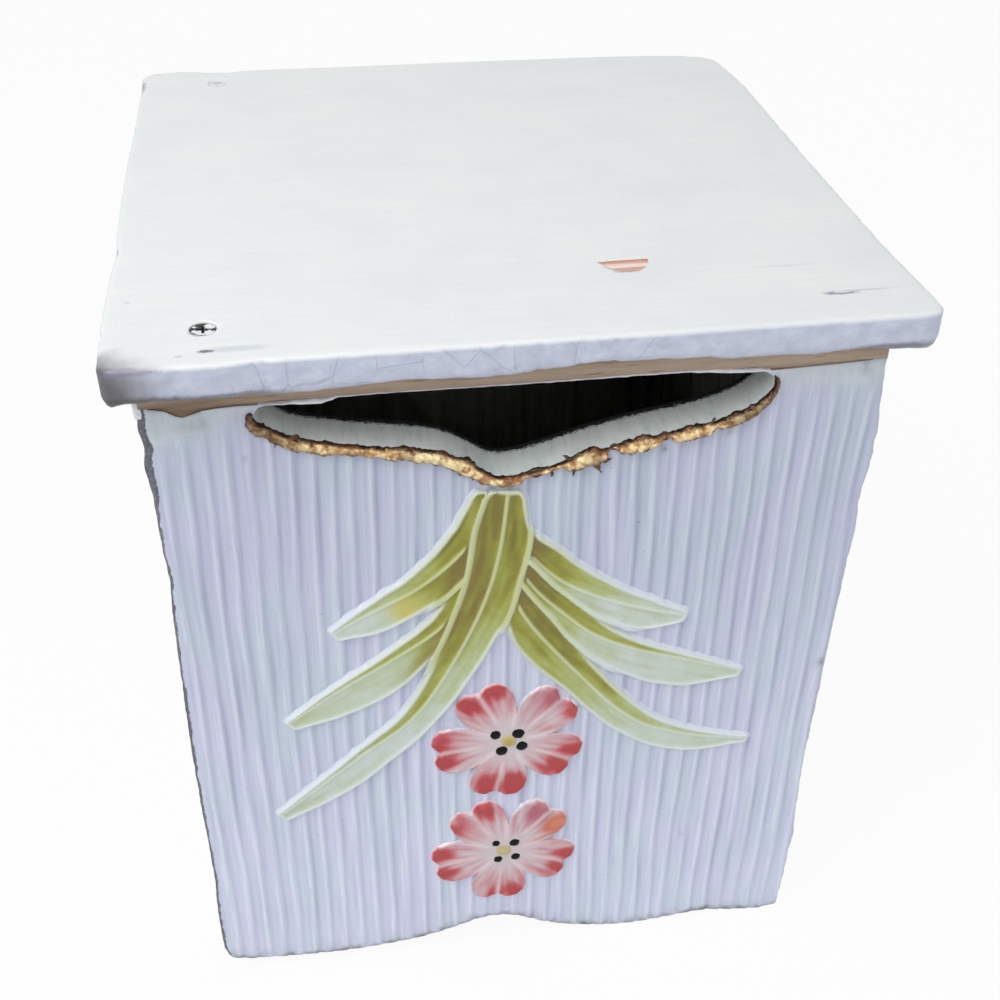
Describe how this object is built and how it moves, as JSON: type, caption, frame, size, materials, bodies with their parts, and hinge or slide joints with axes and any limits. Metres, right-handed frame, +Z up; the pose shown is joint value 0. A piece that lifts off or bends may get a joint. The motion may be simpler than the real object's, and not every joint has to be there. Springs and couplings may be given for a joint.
{
  "type": "wooden storage box",
  "caption": "Square wooden box for papers and keepsakes, with a screwed-down lid board, a bracket-shaped slot under it and a combed front with relief leaves and flowers.",
  "frame": {"origin": "under the middle of the lid board, at the height of the feet", "axes": "+Z up, the slotted front faces -Y, +X to the right of someone who looks at the front"},
  "size_m": [0.24, 0.2416, 0.2724],
  "materials": {
    "lid_paint": "white brush-painted board, satin, worn at the corners",
    "comb_paint": "pale lavender white gloss coat over combed ribs",
    "bare_wood": "bare tan wood, dry",
    "filler": "white filler bead, satin",
    "gilding": "gold laid over a lumpy raised bead, darker in its hollows",
    "leaf_glaze": "olive green pooled between pale raised edges, fading to pale at the tips, glossy",
    "petal_glaze": "pale pink with red lobes, glossy",
    "button_glaze": "soft yellow, glossy",
    "screw_steel": "dark steel, painted over in part",
    "nail_steel": "dull steel, painted over"
  },
  "bodies": {
    "root": {"lid_board": "lid_paint", "lid_screw_front_left": "screw_steel", "lid_screw_front_right": "screw_steel", "lid_screw_back_left": "screw_steel", "lid_screw_back_right": "screw_steel", "front_wall": "comb_paint", "front_rail": "bare_wood", "sealing_bead": "filler", "gilt_bead": "gilding", "left_wall": "comb_paint", "right_wall": "comb_paint", "back_wall": "comb_paint", "bottom_board": "bare_wood", "left_leaf_upper": "leaf_glaze", "left_leaf_middle": "leaf_glaze", "left_leaf_lower": "leaf_glaze", "right_leaf_upper": "leaf_glaze", "right_leaf_middle": "leaf_glaze", "right_leaf_lower": "leaf_glaze", "upper_flower": "petal_glaze", "lower_flower": "petal_glaze", "upper_flower_centre": "button_glaze", "lower_flower_centre": "button_glaze", "front_nail_left_top": "nail_steel", "front_nail_left_middle": "nail_steel", "front_nail_left_foot": "nail_steel", "front_nail_right_top": "nail_steel", "front_nail_right_middle": "nail_steel", "front_nail_right_foot": "nail_steel", "back_nail_left_top": "nail_steel", "back_nail_left_middle": "nail_steel", "back_nail_left_foot": "nail_steel", "back_nail_right_top": "nail_steel", "back_nail_right_middle": "nail_steel", "back_nail_right_foot": "nail_steel", "bottom_nail_left_1": "nail_steel", "bottom_nail_left_2": "nail_steel", "bottom_nail_right_1": "nail_steel", "bottom_nail_right_2": "nail_steel", "bottom_nail_back_1": "nail_steel", "bottom_nail_back_2": "nail_steel"}
  },
  "joints": []
}
